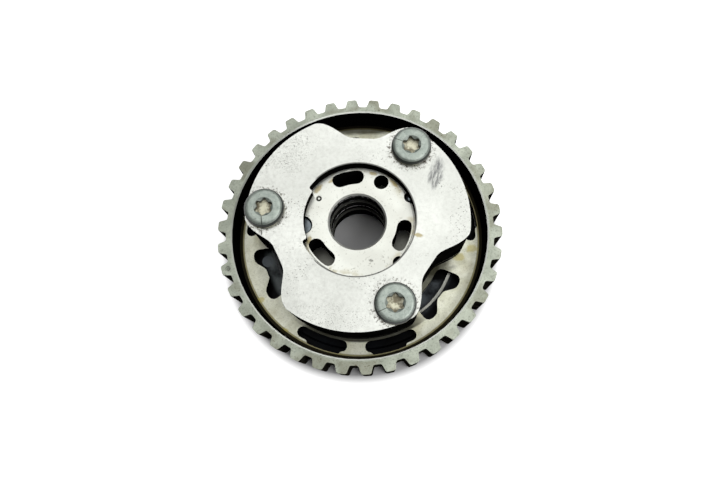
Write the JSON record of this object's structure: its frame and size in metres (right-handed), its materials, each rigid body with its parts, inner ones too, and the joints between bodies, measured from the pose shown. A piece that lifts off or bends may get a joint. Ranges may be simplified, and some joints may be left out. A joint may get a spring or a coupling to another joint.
{
  "type": "cam phaser",
  "caption": "Vane-type cam phaser: toothed belt pulley with a lobed vane housing, bolted ground cover and bored rotor.",
  "frame": {"origin": "on the rotation axis, in the plane of the toothed rim's rear face", "axes": "+Z along the rotation axis, from the rim's rear face towards the cover and its screws; +Y is up in the picture"},
  "size_m": [0.1138, 0.1138, 0.0368],
  "materials": {
    "sintered_steel": "satin",
    "dark_sintered_steel": "satin",
    "ground_steel": "satin",
    "machined_steel": "satin",
    "zinc_plated_steel": "satin",
    "seal_polymer": "matte",
    "spring_steel": "satin",
    "hardened_steel": "satin",
    "phosphated_sheet": "matte"
  },
  "bodies": {
    "housing": {"timing_pulley": "sintered_steel", "stator": "dark_sintered_steel", "cover_plate": "ground_steel", "cover_screw_1": "zinc_plated_steel", "cover_screw_2": "zinc_plated_steel", "cover_screw_3": "zinc_plated_steel", "partition_seal_1": "seal_polymer", "partition_seal_spring_1": "spring_steel", "partition_seal_2": "seal_polymer", "partition_seal_spring_2": "spring_steel", "partition_seal_3": "seal_polymer", "partition_seal_spring_3": "spring_steel", "lock_bush": "hardened_steel", "bias_spring": "spring_steel", "spring_anchor_post": "zinc_plated_steel", "spring_cover": "phosphated_sheet", "cover_rivet_1": "zinc_plated_steel", "cover_rivet_2": "zinc_plated_steel", "cover_rivet_3": "zinc_plated_steel", "locating_pin_1": "hardened_steel", "locating_pin_2": "hardened_steel"},
    "rotor": {"rotor": "machined_steel", "vane_seal_1": "seal_polymer", "vane_seal_spring_1": "spring_steel", "vane_seal_2": "seal_polymer", "vane_seal_spring_2": "spring_steel", "vane_seal_3": "seal_polymer", "vane_seal_spring_3": "spring_steel", "lock_pin_cap": "hardened_steel", "lock_pin_spring": "spring_steel", "gallery_ball_1": "hardened_steel", "gallery_ball_2": "hardened_steel"},
    "lock_pin": {"lock_pin": "hardened_steel"}
  },
  "joints": [
    {"name": "rotor_turn", "type": "hinge", "parent": "housing", "child": "rotor", "pos_m": [0, 0, 0], "axis": [0, 0, 1], "range_deg": [-25, 0], "stiffness_Nm_per_rad": 0.3, "deforming": ["bias_spring"]},
    {"name": "lock_pin_slide", "type": "slide", "parent": "rotor", "child": "lock_pin", "axis": [0, 0, -1], "range_m": [0, 0.0038], "stiffness_N_per_m": 300, "deforming": ["lock_pin_spring"]}
  ]
}
